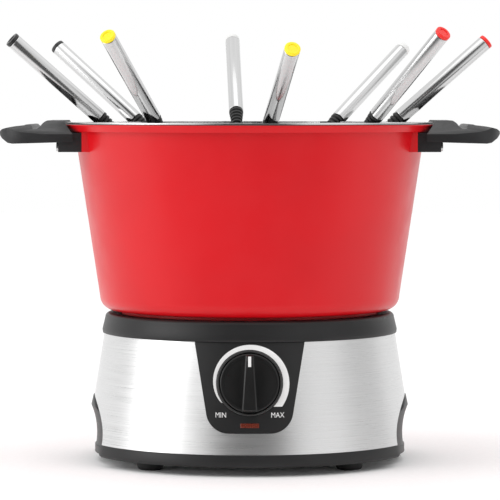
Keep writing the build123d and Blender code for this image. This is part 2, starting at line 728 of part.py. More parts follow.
with BuildPart() as handle_screws:
    for side in (1, -1):
        head_seat = Plane(origin=(side * LUG_OUTER_X, 0, 0), x_dir=(0, side, 0), z_dir=(side, 0, 0))
        with BuildSketch(head_seat):
            with Locations((-HANDLE_SCREW_Y, HANDLE_SCREW_Z), (HANDLE_SCREW_Y, HANDLE_SCREW_Z)):
                Circle(2.6)
        extrude(amount=1.8)
        with BuildSketch(head_seat.offset(0.9)):
            with Locations((-HANDLE_SCREW_Y, HANDLE_SCREW_Z), (HANDLE_SCREW_Y, HANDLE_SCREW_Z)):
                Rectangle(3.2, 0.7)
                Rectangle(0.7, 3.2)
        extrude(amount=2, mode=Mode.SUBTRACT)
        with BuildSketch(head_seat):
            with Locations((-HANDLE_SCREW_Y, HANDLE_SCREW_Z), (HANDLE_SCREW_Y, HANDLE_SCREW_Z)):
                Circle(SCREW_RADIUS)
        extrude(amount=-12.5)

save("handle_screws", handle_screws.part)

# ---------------------------------------------------------------- fork ring
# A pressed steel ring that lies on the pot's rim.  Its notches open inwards, and a
# short skirt outside them drops into the pot's mouth.
MOUTH_RADIUS = pot_radius(RIM_Z) - POT_WALL
NOTCH_CENTRE = NOTCH_END_RADIUS - NOTCH_HALF_WIDTH

with BuildPart() as fork_ring:
    with BuildSketch(Plane.XZ):
        outline(
            (78.0, RING_Z),
            (RING_RADIUS, RING_Z),
            (RING_RADIUS, RIM_Z),
            (MOUTH_RADIUS - 0.5, RIM_Z),
            (MOUTH_RADIUS - 1.0, RIM_Z - 4.0),
            (MOUTH_RADIUS - 1.8, RIM_Z - 4.0),
            (MOUTH_RADIUS - 1.3, RIM_Z),
            (78.0, RIM_Z),
        )
    revolve(axis=Axis.Z)
    with BuildSketch(Plane.XY.offset(RIM_Z - 1)):
        with PolarLocations(NOTCH_CENTRE, NOTCH_COUNT, start_angle=NOTCH_ANGLE):
            Circle(NOTCH_HALF_WIDTH)
            with Locations((0, 0)):
                Rectangle(20, 2 * NOTCH_HALF_WIDTH, align=(Align.MAX, Align.CENTER))
    extrude(amount=3, mode=Mode.SUBTRACT)

save("fork_ring", fork_ring.part)

# ---------------------------------------------------------------- forks
# Each fork stands on its tines on the pot's floor and leans out through a notch.
# A row holds the cap's colour, where the tines stand, and where the axis crosses the ring.
FORKS = {
    1: ("black", (32.0, 27.0), (-84.5, -9.0)),
    2: ("black", (48.0, 11.0), (-67.5, 58.5)),
    3: ("yellow", (2.0, 42.0), (-53.0, -66.5)),
    4: ("white", (-2.0, -32.0), (-8.0, 84.0)),
    5: ("yellow", (-19.0, 41.0), (11.5, -87.5)),
    6: ("white", (-47.0, -7.0), (52.5, 68.0)),
    7: ("red", (-12.0, 30.0), (69.0, -57.0)),
    8: ("red", (-35.0, -15.0), (85.5, 6.0)),
}
CAP_Z = FORK_LENGTH - CAP_LENGTH
TUBE_Z = CAP_Z - FORK_TUBE_LENGTH
FERRULE_Z = TUBE_Z - FERRULE_LENGTH
TUBE_BORE = 3.85
PLUG_RADIUS = TUBE_BORE - 0.02
RIB_COUNT = 5
RIB_STEP = (FERRULE_LENGTH - 2.0) / RIB_COUNT


def fork_axes(stand, crossing):
    """Section plane of a fork (y along the fork) and the plane across its tips."""
    tip = Vector(stand[0], stand[1], TINE_TIP_Z)
    along = (Vector(crossing[0], crossing[1], RING_Z) - tip).normalized()
    across = along.cross(Vector(0, 0, 1)).normalized()
    section = Plane(origin=tip, x_dir=across, z_dir=across.cross(along))
    tips = Plane(origin=tip, x_dir=across, z_dir=along)
    return section, tips


for number, (colour, stand, crossing) in FORKS.items():
    section, tips = fork_axes(stand, crossing)
    fork_axis = Axis(tips.origin, tips.z_dir)

    with BuildPart() as tines:
        with BuildSketch(tips.offset(4.0)):
            with Locations((-TINE_OFFSET, 0), (TINE_OFFSET, 0)):
                Circle(TINE_RADIUS)
        extrude(amount=TINE_LENGTH - 4.0)
        for offset in (-TINE_OFFSET, TINE_OFFSET):
            with BuildSketch(tips.offset(4.0)):
                with Locations((offset, 0)):
                    Circle(TINE_RADIUS)
            with BuildSketch(tips):
                with Locations((offset, 0)):
                    Circle(0.15)
            loft()
        with BuildSketch(tips.offset(TINE_LENGTH)):
            SlotOverall(2 * (TINE_OFFSET + TINE_RADIUS), 2 * TINE_RADIUS)
        with BuildSketch(tips.offset(TINE_LENGTH + 8.0)):
            SlotOverall(2 * ROD_RADIUS + 0.1, 2 * ROD_RADIUS)
        loft()
        with BuildSketch(tips.offset(TINE_LENGTH + 8.0)):
            Circle(ROD_RADIUS)
        extrude(amount=FERRULE_Z + 8.0 - TINE_LENGTH - 8.0)
    save(f"fork_{number}_tines", tines.part)

    with BuildPart() as ferrule:
        with BuildSketch(section):
            outline(
                (ROD_RADIUS + 0.02, FERRULE_Z),
                (3.1, FERRULE_Z),
                (FORK_TUBE_RADIUS, TUBE_Z - 2.0),
                (FORK_TUBE_RADIUS, TUBE_Z),
                (PLUG_RADIUS, TUBE_Z),
                (PLUG_RADIUS, TUBE_Z + 8.0),
                (0, TUBE_Z + 8.0),
                (0, FERRULE_Z + 8.05),
                (ROD_RADIUS + 0.02, FERRULE_Z + 8.05),
            )
            for rib in range(RIB_COUNT):
                groove_z = FERRULE_Z + (rib + 1) * RIB_STEP
                groove_radius = 3.1 + (FORK_TUBE_RADIUS - 3.1) * (rib + 1) / RIB_COUNT
                with Locations((groove_radius, groove_z)):
                    Rectangle(1.3, 0.7, mode=Mode.SUBTRACT)
        revolve(axis=fork_axis)
    save(f"fork_{number}_ferrule", ferrule.part)

    with BuildPart() as tube:
        with BuildSketch(tips.offset(TUBE_Z)):
            Circle(FORK_TUBE_RADIUS)
            Circle(TUBE_BORE, mode=Mode.SUBTRACT)
        extrude(amount=FORK_TUBE_LENGTH)
    save(f"fork_{number}_handle_tube", tube.part)

    with BuildPart() as cap:
        with BuildSketch(tips.offset(CAP_Z - 8.0)):
            Circle(PLUG_RADIUS)
        extrude(amount=8.0)
        with BuildSketch(tips.offset(CAP_Z)):
            Circle(FORK_TUBE_RADIUS)
        extrude(amount=CAP_LENGTH)
        if colour == "white":
            fillet(cap.faces().sort_by(fork_axis)[-1].edges(), 2.4)
        else:
            fillet(cap.faces().sort_by(fork_axis)[-1].edges(), 0.5)
    save(f"fork_{number}_cap_{colour}", cap.part)
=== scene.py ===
import json
import math

import bpy
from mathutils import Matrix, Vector


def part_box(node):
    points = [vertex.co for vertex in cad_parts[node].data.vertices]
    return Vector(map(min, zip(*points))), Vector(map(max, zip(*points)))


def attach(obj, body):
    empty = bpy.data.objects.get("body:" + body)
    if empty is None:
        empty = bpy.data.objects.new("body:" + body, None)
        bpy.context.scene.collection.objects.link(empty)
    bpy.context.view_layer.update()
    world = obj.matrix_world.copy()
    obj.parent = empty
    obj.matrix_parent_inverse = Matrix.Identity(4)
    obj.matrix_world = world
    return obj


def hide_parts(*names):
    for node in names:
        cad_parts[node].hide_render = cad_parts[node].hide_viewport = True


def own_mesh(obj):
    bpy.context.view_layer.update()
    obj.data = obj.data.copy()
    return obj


bl_info = {
    "name": "Electric fondue pot set",
    "version": (1, 0, 0),
    "blender": (4, 5, 0),
    "location": "3D View > Sidebar > Fondue",
    "description": "Finishes the packed fondue pot set and stages it",
    "category": "Object",
}

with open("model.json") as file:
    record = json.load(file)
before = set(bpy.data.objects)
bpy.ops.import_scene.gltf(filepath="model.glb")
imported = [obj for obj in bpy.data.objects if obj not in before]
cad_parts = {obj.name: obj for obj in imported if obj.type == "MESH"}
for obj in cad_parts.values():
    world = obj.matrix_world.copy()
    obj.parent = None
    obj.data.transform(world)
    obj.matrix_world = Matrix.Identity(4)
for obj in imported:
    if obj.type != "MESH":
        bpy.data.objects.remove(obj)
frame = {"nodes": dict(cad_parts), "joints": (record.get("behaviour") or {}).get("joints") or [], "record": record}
NODES = frame["nodes"]
BODIES = frame["record"]["behaviour"]["bodies"]
BODY_OF = {node: body for body, nodes in BODIES.items() for node in nodes}
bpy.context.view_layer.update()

# The base is a cone: its outer radius falls with height, in metres.
SHELL_FOOT_Z = 0.0124
SHELL_FOOT_RADIUS = 0.0959
SHELL_SLOPE = 0.163
DIAL_Z = 0.0524
# The pot's wall widens with height.
POT_CORNER_Z = 0.0966
POT_CORNER_RADIUS = 0.0882
POT_SLOPE = 0.1515
POT_WALL = 0.003
# The black lining is inside the wall above the first height; the rim is black above the second.
LINING_LOW_Z = 0.0915
BLACK_RIM_Z = 0.1972

# The printed scale: where it starts, in degrees anticlockwise from the right, and how far
# its outer and inner edges run clockwise. The power sets how quickly it widens.
SCALE_START = 216.4
SCALE_SWEEP_OUTER = 252.4
SCALE_SWEEP_INNER = 261.0
SCALE_TAPER = 0.42
INK_LIFT = 0.00004
INK_THICKNESS = 0.00008
# The end marks: the height and sideways places of their middles, and their letters' shape.
MARK_Z = 0.0345
MARK_X = {"MIN": -0.0162, "MAX": 0.0157}
LETTER_WIDTH = 0.86
CAPITAL_SHARE = 0.7

# Mesh work: distances for merging points, in metres, and angles in degrees.
MERGE_COPIED = 0.000002
MERGE_TURNED = 0.000003
FLAT_ANGLE = 0.4
EDGE_ANGLE = 38.0

# The camera's focal length in millimetres and its place across, and where the lights aim.
LENS_LENGTH = 223.2
CAMERA_X = 0.0002
LIGHT_AIM = Vector((0, 0, 0.12))


def shell_radius(z):
    """Outer radius of the base's cone at the height z."""
    return SHELL_FOOT_RADIUS - (z - SHELL_FOOT_Z) * SHELL_SLOPE


# ------------------------------------------------------------------ shader tools
class Val:
    """A socket that takes part in Python arithmetic by adding Math nodes."""

    def __init__(self, tree, socket):
        self.tree = tree
        self.socket = socket

    def _math(self, operation, a, b=None):
        node = self.tree.nodes.new("ShaderNodeMath")
        node.operation = operation
        for slot, value in zip(node.inputs, (a, b)):
            if isinstance(value, Val):
                self.tree.links.new(value.socket, slot)
            elif value is not None:
                slot.default_value = value
        return Val(self.tree, node.outputs[0])

    def __add__(self, other):
        return self._math("ADD", self, other)

    def __radd__(self, other):
        return self._math("ADD", other, self)

    def __sub__(self, other):
        return self._math("SUBTRACT", self, other)

    def __rsub__(self, other):
        return self._math("SUBTRACT", other, self)

    def __mul__(self, other):
        return self._math("MULTIPLY", self, other)

    def __rmul__(self, other):
        return self._math("MULTIPLY", other, self)

    def __pow__(self, other):
        return self._math("POWER", self, other)

    def above(self, limit):
        return self._math("GREATER_THAN", self, limit)

    def below(self, limit):
        return self._math("LESS_THAN", self, limit)

    def angle(self, other):
        return self._math("ARCTAN2", self, other)

    def sine(self):
        return self._math("SINE", self)


class Finish:
    """A material under construction: its tree, its shader and short ways to add nodes."""

    def __init__(self, name, **uniform):
        self.material = bpy.data.materials.new(name)
        self.material.use_nodes = True
        self.tree = self.material.node_tree
        self.shader = self.tree.nodes["Principled BSDF"]
        for socket, value in uniform.items():
            self.shader.inputs[socket.replace("_", " ")].default_value = value
        self.object = self.node("ShaderNodeTexCoord", output="Object")

    def node(self, kind, settings=None, inputs=None, output=0):
        """Add one node: its settings first, then the values or links of its sockets."""
        made = self.tree.nodes.new(kind)
        for key, value in (settings or {}).items():
            setattr(made, key, value)
        for key, value in (inputs or {}).items():
            if isinstance(value, Val):
                self.tree.links.new(value.socket, made.inputs[key])
            else:
                made.inputs[key].default_value = value
        return Val(self.tree, made.outputs[output])

    def split(self, vector):
        """The X, Y and Z values of a vector."""
        parts = self.node("ShaderNodeSeparateXYZ", None, {0: vector}).socket.node.outputs
        return [Val(self.tree, part) for part in parts]

    def noise(self, scale, detail=4.0, rough=0.55, vector=None):
        values = {"Vector": vector or self.object, "Scale": scale, "Detail": detail, "Roughness": rough}
        return self.node("ShaderNodeTexNoise", None, values)

    def smooth(self, value, low, high, out_low=0.0, out_high=1.0):
        """The value mapped from low..high to out_low..out_high along a smooth step."""
        values = {"Value": value, "From Min": low, "From Max": high, "To Min": out_low, "To Max": out_high}
        return self.node("ShaderNodeMapRange", {"interpolation_type": "SMOOTHSTEP"}, values)

    def mix(self, factor, a, b):
        """Colour a where the factor is 0 and colour b where it is 1."""
        return self.node("ShaderNodeMix", {"data_type": "RGBA"}, {0: factor, 6: a, 7: b}, output=2)

    def feed(self, socket, value):
        self.tree.links.new(value.socket, self.shader.inputs[socket])

    def bump(self, height, strength, distance):
        values = {"Height": height, "Strength": strength, "Distance": distance}
        self.feed("Normal", self.node("ShaderNodeBump", None, values))


def grey(level, alpha=1.0):
    return (level, level, level, alpha)


# ------------------------------------------------------------------ finishes
def red_enamel(colour):
    """Red coat outside; the black non-stick lining inside the wall, and black on the rim's top."""
    f = Finish("red_enamel", Coat_Weight=0.08, Coat_Roughness=0.12, Specular_IOR_Level=0.3)
    x, y, z = f.split(f.object)
    radius = (x * x + y * y) ** 0.5
    inner = z * POT_SLOPE + (POT_CORNER_RADIUS - POT_WALL * 0.6 - POT_CORNER_Z * POT_SLOPE)
    inside = (radius - inner).below(0.0) * z.above(LINING_LOW_Z)
    # The rim's top above the second height is made black as well.
    rim = z.above(BLACK_RIM_Z)
    lining_and_rim = 1 - (1 - inside) * (1 - rim)
    cloud = f.noise(14.0, 3.0)
    deep = tuple(c * 0.95 for c in colour[:3]) + (1.0,)
    red = f.mix(f.smooth(cloud, 0.35, 0.65), deep, colour)
    speck = f.smooth(f.noise(900.0, 2.0), 0.66, 0.72)
    black = f.mix(speck, grey(0.016), grey(0.07))
    f.feed("Base Color", f.mix(lining_and_rim, red, black))
    satin = f.smooth(f.noise(60.0, 4.0), 0.3, 0.7, 0.3, 0.37)
    f.feed("Roughness", satin + lining_and_rim * 0.1)
    f.feed("Coat Weight", (1 - lining_and_rim) * 0.08)
    f.bump(f.noise(420.0, 2.0), 0.12, 0.0002)
    return f.material


def round_brushed(name, level, rough, lines=2600.0):
    """Steel brushed round the axis: long fine streaks at a constant height."""
    f = Finish(name, Metallic=1.0, Anisotropic=0.5)
    x, y, z = f.split(f.object)
    turn = y.angle(x)
    place = f.node("ShaderNodeCombineXYZ", None, {"X": turn * 1.4, "Y": z * lines, "Z": 0.0})
    streak = f.noise(1.0, 5.0, 0.6, place)
    fine = f.node("ShaderNodeCombineXYZ", None, {"X": turn * 9.0, "Y": z * lines * 3.1, "Z": 2.0})
    hair = f.noise(1.0, 3.0, 0.6, fine)
    mixed = streak * 0.65 + hair * 0.35
    f.feed("Base Color", f.mix(f.smooth(mixed, 0.3, 0.7), grey(level * 0.86), grey(level)))
    f.feed("Roughness", f.smooth(mixed, 0.25, 0.75, rough - 0.06, rough + 0.08))
    f.bump(mixed, 0.22, 0.00012)
    return f.material


def length_brushed(name, level, rough, direction):
    """Steel brushed along a straight piece that points in the given direction."""
    f = Finish(name, Metallic=1.0)
    tilt = Vector(direction).to_track_quat("Z", "Y").to_euler()
    upright = {"Vector": f.object, "Rotation": tilt}
    flat = f.node("ShaderNodeMapping", {"vector_type": "TEXTURE"}, upright)
    long = f.node("ShaderNodeMapping", None, {"Vector": flat, "Scale": (900.0, 900.0, 3.0)})
    streak = f.noise(1.0, 3.0, 0.5, long)
    smudge = f.noise(40.0, 3.0)
    f.feed("Base Color", f.mix(f.smooth(streak, 0.3, 0.7), grey(level * 0.84), grey(level)))
    f.feed("Roughness", f.smooth(streak, 0.2, 0.8, rough - 0.03, rough + 0.03) + smudge * 0.04)
    groove = f.node("ShaderNodeMapping", None, {"Vector": flat, "Scale": (420.0, 420.0, 2.0)})
    f.bump(f.noise(1.0, 1.0, 0.5, groove), 0.012, 0.0001)
    return f.material


def bright_metal(name, colour, rough):
    """Polished or plated metal with faint handling marks."""
    f = Finish(name, Metallic=1.0)
    mark = f.noise(130.0, 5.0, 0.65)
    darker = tuple(c * 0.88 for c in colour[:3]) + (1.0,)
    f.feed("Base Color", f.mix(f.smooth(mark, 0.35, 0.7), colour, darker))
    f.feed("Roughness", f.smooth(mark, 0.3, 0.75, rough, rough + 0.12))
    f.bump(f.noise(1500.0, 3.0), 0.05, 0.00005)
    return f.material


def moulded(name, colour, rough, grain=2600.0, depth=0.22, coat=0.0):
    """Moulded plastic with a fine sparked grain and slightly uneven gloss."""
    f = Finish(name, Coat_Weight=coat, Coat_Roughness=0.2, Specular_IOR_Level=0.36)
    flow = f.noise(18.0, 3.0)
    paler = tuple(min(1.0, c * 1.25 + 0.004) for c in colour[:3]) + (1.0,)
    f.feed("Base Color", f.mix(f.smooth(flow, 0.3, 0.75), colour, paler))
    pits = f.noise(grain, 3.0, 0.6)
    f.feed("Roughness", f.smooth(pits, 0.3, 0.7, rough - 0.05, rough + 0.05) + flow * 0.05)
    f.bump(pits, depth, 0.00012)
    return f.material


def lens_plastic(colour):
    """Ribbed translucent red plastic over the lamp, with a faint painted glow."""
    # The emission is a painted glow: the lamp under the lens gives no light.
    f = Finish("lens_plastic", Transmission_Weight=0.2, Roughness=0.2, IOR=1.5, Emission_Strength=0.15)
    x = f.split(f.object)[0]
    rib = (x * 5200.0).sine()
    brighter = tuple(min(1.0, c * 1.2) for c in colour[:3]) + (1.0,)
    tone_and_glow = f.mix(f.smooth(rib, -1.0, 1.0), colour, brighter)
    f.feed("Base Color", tone_and_glow)
    # The same tone also colours the painted glow.
    f.feed("Emission Color", tone_and_glow)
    f.bump(rib, 0.3, 0.0002)
    return f.material


def element_scale():
    """Heat-oxidised sheath, from grey-brown to blue-black."""
    f = Finish("element_scale", Metallic=0.8)
    patch = f.noise(45.0, 5.0)
    f.feed("Base Color", f.mix(f.smooth(patch, 0.35, 0.65), (0.09, 0.07, 0.06, 1), (0.05, 0.055, 0.07, 1)))
    f.feed("Roughness", f.smooth(f.noise(300.0), 0.3, 0.7, 0.4, 0.6))
    f.bump(f.noise(900.0), 0.3, 0.0001)
    return f.material


def soft_card(name, opacity):
    """A grey card for the studio that fades out towards its edges."""
    f = Finish(name, Roughness=1.0, Base_Color=grey(0.06))
    x, y = f.split(f.object)[:2]
    across = f.smooth(x * x, 0.06, 0.25, opacity, 0.0)
    upright = f.smooth(y * y, 0.12, 0.25, 1.0, 0.0)
    clear = f.node("ShaderNodeBsdfTransparent")
    card = Val(f.tree, f.shader.outputs[0])
    both = f.node("ShaderNodeMixShader", None, {0: across * upright, 1: clear, 2: card})
    f.tree.links.new(both.socket, f.tree.nodes["Material Output"].inputs["Surface"])
    return f.material


# ------------------------------------------------------------------ mesh tools
def deselect():
    """Leave nothing selected and no edit mode open."""
    if bpy.context.object and bpy.context.object.mode != "OBJECT":
        bpy.ops.object.mode_set(mode="OBJECT")
    bpy.ops.object.select_all(action="DESELECT")


def take(piece):
    """Make the piece the only selected and the active object."""
    deselect()
    piece.select_set(True)
    bpy.context.view_layer.objects.active = piece


def dress(piece, material):
    """Give the whole piece one material."""
    piece.data.materials.clear()
    piece.data.materials.append(material)
    piece.data.polygons.foreach_set("material_index", [0] * len(piece.data.polygons))


def soften(piece, angle):
    """Shade smooth, but keep edges sharp where faces meet at more than the angle in degrees."""
    take(piece)
    bpy.ops.object.shade_smooth_by_angle(angle=math.radians(angle))
    deselect()


def stand_for(piece, node, material, angle):
    """Shade and dress a piece, and let it ride in the place of its node."""
    soften(piece, angle)
    dress(piece, material)
    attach(piece, BODY_OF[node])
    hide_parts(node)


def finished_copy(node, material, angle=32.0, edge=0.0):
    """A merged copy of a node's shape, with its edges rounded by edge metres."""
    source = NODES[node]
    piece = bpy.data.objects.new(node + "_finished", source.data.copy())
    bpy.context.scene.collection.objects.link(piece)
    take(piece)
    bpy.ops.object.mode_set(mode="EDIT")
    bpy.ops.mesh.select_all(action="SELECT")
    bpy.ops.mesh.remove_doubles(threshold=MERGE_COPIED)
    bpy.ops.mesh.customdata_custom_splitnormals_clear()
    if edge > 0.0:
        bpy.ops.mesh.dissolve_limited(angle_limit=math.radians(FLAT_ANGLE))
    bpy.ops.object.mode_set(mode="OBJECT")
    if edge > 0.0:
        rounding = piece.modifiers.new("rounding", "BEVEL")
        rounding.width = edge
        rounding.segments = 2
        rounding.limit_method = "ANGLE"
        rounding.angle_limit = math.radians(EDGE_ANGLE)
        bpy.ops.object.modifier_apply(modifier="rounding")
    stand_for(piece, node, material, angle)
    return piece


def finish_nodes(material, names, angle=32.0, edge=0.0):
    for name in names:
        finished_copy(name, material, angle, edge)


def turned(name, outline, steps=48):
    """A piece turned about Z from its outline, given as (radius, height) points."""
    deselect()
    bpy.ops.mesh.primitive_plane_add(size=0.001, location=(0, 0, 0))
    piece = bpy.context.object
    piece.name = name
    bpy.ops.object.mode_set(mode="EDIT")
    bpy.ops.mesh.select_all(action="SELECT")
    bpy.ops.mesh.merge(type="CENTER")
    here = (0.0, 0.0)
    for index, point in enumerate(outline):
        step = (point[0] - here[0], 0.0, point[1] - here[1])
        if index == 0:
            bpy.ops.transform.translate(value=step)
        else:
            bpy.ops.mesh.extrude_vertices_move(TRANSFORM_OT_translate={"value": step})
        here = point
    bpy.ops.mesh.select_all(action="SELECT")
    bpy.ops.mesh.spin(steps=steps, angle=2 * math.pi, center=(0, 0, 0), axis=(0, 0, 1))
    bpy.ops.mesh.select_all(action="SELECT")
    bpy.ops.mesh.remove_doubles(threshold=MERGE_TURNED)
    bpy.ops.mesh.normals_make_consistent(inside=False)
    bpy.ops.object.mode_set(mode="OBJECT")
    deselect()
    return piece


def rounded(corner_r, corner_h, radius, start, end, count=4):
    """Points of a fillet about (corner_r, corner_h), from one angle to another in degrees."""
    turns = [math.radians(start + (end - start) * i / count) for i in range(count + 1)]
    return [(corner_r + radius * math.cos(a), corner_h + radius * math.sin(a)) for a in turns]


class ForkFrame:
    """Where one fork lies: its turned frame and the heights of its pieces along it."""

    TUBE_WALL = 0.0006
    TUBE_LIP = 0.0004
    # The share of a dished cap's height that the tube covers, and of the tube's radius that
    # plugs have.
    CAP_COVERED = 0.45
    PLUG_SHARE = 0.8
    CAP_PLUG = 0.004
    CAP_GAP = 0.0001
    CAP_FOOT_EDGE = 0.0003
    CAP_EDGE = 0.0006
    CAP_DOME = 0.0024
    DISH_DEPTH = 0.0005
    DISH_SHARE = 0.68
    FERRULE_LOW_RADIUS = 0.0031
    FERRULE_BORE = 0.0012
    FERRULE_PLUG = 0.002
    NOSE_LENGTH = 0.0004
    NOSE_DEPTH = 0.0008
    CREST_SHARE = 0.7
    # One rib of the ferrule: (share of its length, depth below its crest).
    RIB = ((0.06, 0.0007), (0.2, 0.0001), (0.45, 0.0), (0.76, 0.0001), (0.9, 0.0007))

    def __init__(self, body, axis):
        nodes = BODIES[body]
        self.turn = Vector(axis).normalized().to_track_quat("Z", "Y").to_matrix()
        self.tube = next(node for node in nodes if node.endswith("tube"))
        self.cap = next(node for node in nodes if "_cap_" in node)
        self.ferrule = next(node for node in nodes if node.endswith("ferrule"))
        self.tines = next(node for node in nodes if node.endswith("tines"))
        low, high = self.extent(self.tube)
        self.middle = (low + high) / 2
        self.radius = (high.x - low.x + high.y - low.y) / 4
        self.tube_low, self.tube_high = low.z, high.z
        self.cap_top = self.extent(self.cap)[1].z
        self.domed = self.cap.endswith("white")
        self.overlap = 0.0 if self.domed else (self.cap_top - self.tube_high) * self.CAP_COVERED
        self.ferrule_low = self.extent(self.ferrule)[0].z

    def extent(self, node):
        """Lowest and highest corner of a node in the fork's own frame."""
        back = self.turn.inverted()
        points = [back @ vertex.co for vertex in NODES[node].data.vertices]
        low = Vector(min(p[i] for p in points) for i in range(3))
        high = Vector(max(p[i] for p in points) for i in range(3))
        return low, high

    def lay(self, piece):
        """Turn a piece made about Z into the fork's place."""
        shift = Vector((self.middle.x, self.middle.y, 0.0))
        for vertex in piece.data.vertices:
            vertex.co = self.turn @ (vertex.co + shift)

    def tube_outline(self):
        lip = self.TUBE_LIP
        bore = self.radius - self.TUBE_WALL
        r, low, high = self.radius, self.tube_low, self.tube_high + self.overlap
        points = rounded(r - lip, low + lip, lip, -90, 0)
        points += rounded(r - lip, high - lip, lip, 0, 90)
        return points + [(bore, high), (bore, low), points[0]]

    def cap_outline(self):
        """A plug in the tube, and over it a domed cap or one with a dished top."""
        r, low, top = self.radius, self.tube_high + self.overlap, self.cap_top
        plug, foot = r * self.PLUG_SHARE, low + self.CAP_GAP
        points = [(0.0, low - self.CAP_PLUG), (plug, low - self.CAP_PLUG), (plug, foot)]
        edge = self.CAP_FOOT_EDGE
        points += rounded(r - edge, foot + edge, edge, -90, 0)
        if self.domed:
            points += rounded(r - self.CAP_DOME, top - self.CAP_DOME, self.CAP_DOME, 0, 90, 8)
            return points + [(0.0, top)]
        dish = self.DISH_DEPTH
        points += rounded(r - self.CAP_EDGE, top - self.CAP_EDGE, self.CAP_EDGE, 0, 90)
        points += rounded(r * self.DISH_SHARE, top - dish, dish, 90, 180)
        return points + [(0.0, top - dish)]

    def ferrule_outline(self, ribs=5):
        """Ribs that grow towards the tube, and a plug inside it."""
        r_low, low, high = self.FERRULE_LOW_RADIUS, self.ferrule_low, self.tube_low
        pitch = (high - low) / ribs
        points = [(self.FERRULE_BORE, low + self.NOSE_LENGTH), (r_low - self.NOSE_DEPTH, low)]
        for rib in range(ribs):
            foot = low + rib * pitch
            crest = r_low + (self.radius - r_low) * (rib + self.CREST_SHARE) / ribs
            points += [(crest - depth, foot + share * pitch) for share, depth in self.RIB]
        plug, end = self.radius * self.PLUG_SHARE, high + self.FERRULE_PLUG
        return points + [(plug, high), (plug, end), (0.0, end)]


# ------------------------------------------------------------------ settings
class FondueSettings(bpy.types.PropertyGroup):
    pot_red: bpy.props.FloatVectorProperty(
        name="Pot red", description="Colour of the pot's outer coat",
        default=(0.63, 0.003, 0.008, 1.0), size=4, subtype="COLOR", min=0, max=1,
    )
    plastic_black: bpy.props.FloatVectorProperty(
        name="Moulding black", description="Colour of the black mouldings",
        default=(0.009, 0.009, 0.0094, 1.0), size=4, subtype="COLOR", min=0, max=1,
    )
    cap_red: bpy.props.FloatVectorProperty(
        name="Cap red", description="Colour of the red fork caps",
        default=(0.78, 0.018, 0.012, 1.0), size=4, subtype="COLOR", min=0, max=1,
    )
    cap_yellow: bpy.props.FloatVectorProperty(
        name="Cap yellow", description="Colour of the yellow fork caps",
        default=(0.84, 0.64, 0.005, 1.0), size=4, subtype="COLOR", min=0, max=1,
    )
    letter_height: bpy.props.FloatProperty(
        name="Letter height", description="Height of the dial's end marks",
        default=0.0029, unit="LENGTH", min=0.001, max=0.01,
    )
    scale_radius: bpy.props.FloatProperty(
        name="Scale radius", description="Inner radius of the printed dial scale",
        default=0.0189, unit="LENGTH", min=0.01, max=0.04,
    )
    scale_width: bpy.props.FloatProperty(
        name="Scale width", description="Width of the printed scale at its hot end",
        default=0.0037, unit="LENGTH", min=0.001, max=0.01,
    )
    camera_distance: bpy.props.FloatProperty(
        name="Camera distance", description="Distance from the camera to the pot's axis",
        default=1.826, unit="LENGTH", min=0.3, max=5,
    )
    camera_height: bpy.props.FloatProperty(
        name="Camera height", description="Height of the camera above the table",
        default=0.2103, unit="LENGTH", min=0, max=3,
    )
    camera_tilt: bpy.props.FloatProperty(
        name="Camera tilt", description="How far the camera looks down",
        default=math.radians(2.73335), subtype="ANGLE", min=0, max=1.5,
    )


